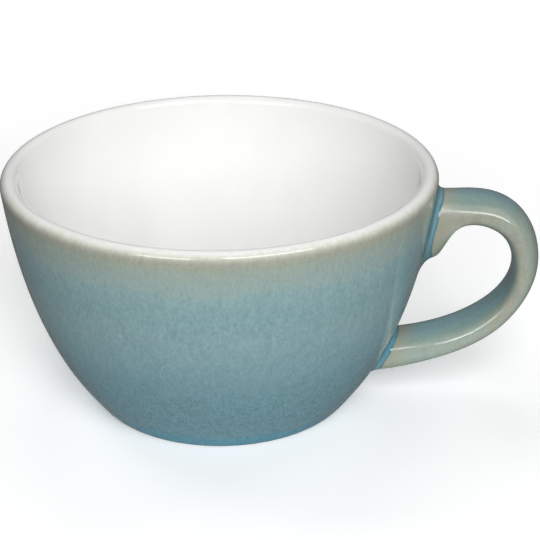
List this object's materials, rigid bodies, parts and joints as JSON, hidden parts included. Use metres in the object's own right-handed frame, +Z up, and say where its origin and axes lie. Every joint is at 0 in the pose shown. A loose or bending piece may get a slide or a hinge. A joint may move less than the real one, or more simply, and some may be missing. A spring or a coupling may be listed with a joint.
{
  "type": "coffee cup",
  "caption": "Low, wide ceramic coffee cup with an ear-shaped handle, white glazed inside and blue-green reactive glaze outside, for a small milk coffee.",
  "frame": {"origin": "centre of the foot ring on the table, on the axis of the bowl", "axes": "+Z up the axis of the bowl, +X towards the handle"},
  "size_m": [0.111, 0.09, 0.0512],
  "materials": {
    "porcelain": "unglazed, fine and matt",
    "slip": "fired joining slip, matt",
    "white_glaze": "clear gloss over white",
    "blue_glaze": "glossy reactive glaze, blue-green, paler and tan where it thins",
    "celadon_glaze": "glossy reactive glaze, thinner, breaking to cream on the edges",
    "pooled_glaze": "glossy glaze pooled thick in the corners"
  },
  "bodies": {
    "root": {"cup_body": "porcelain", "handle": "porcelain", "upper_slip_joint": "slip", "lower_slip_joint": "slip", "liner_glaze": "white_glaze", "outer_glaze": "blue_glaze", "handle_glaze": "celadon_glaze", "upper_seam_glaze": "pooled_glaze", "lower_seam_glaze": "pooled_glaze", "base_glaze": "white_glaze"}
  },
  "joints": []
}
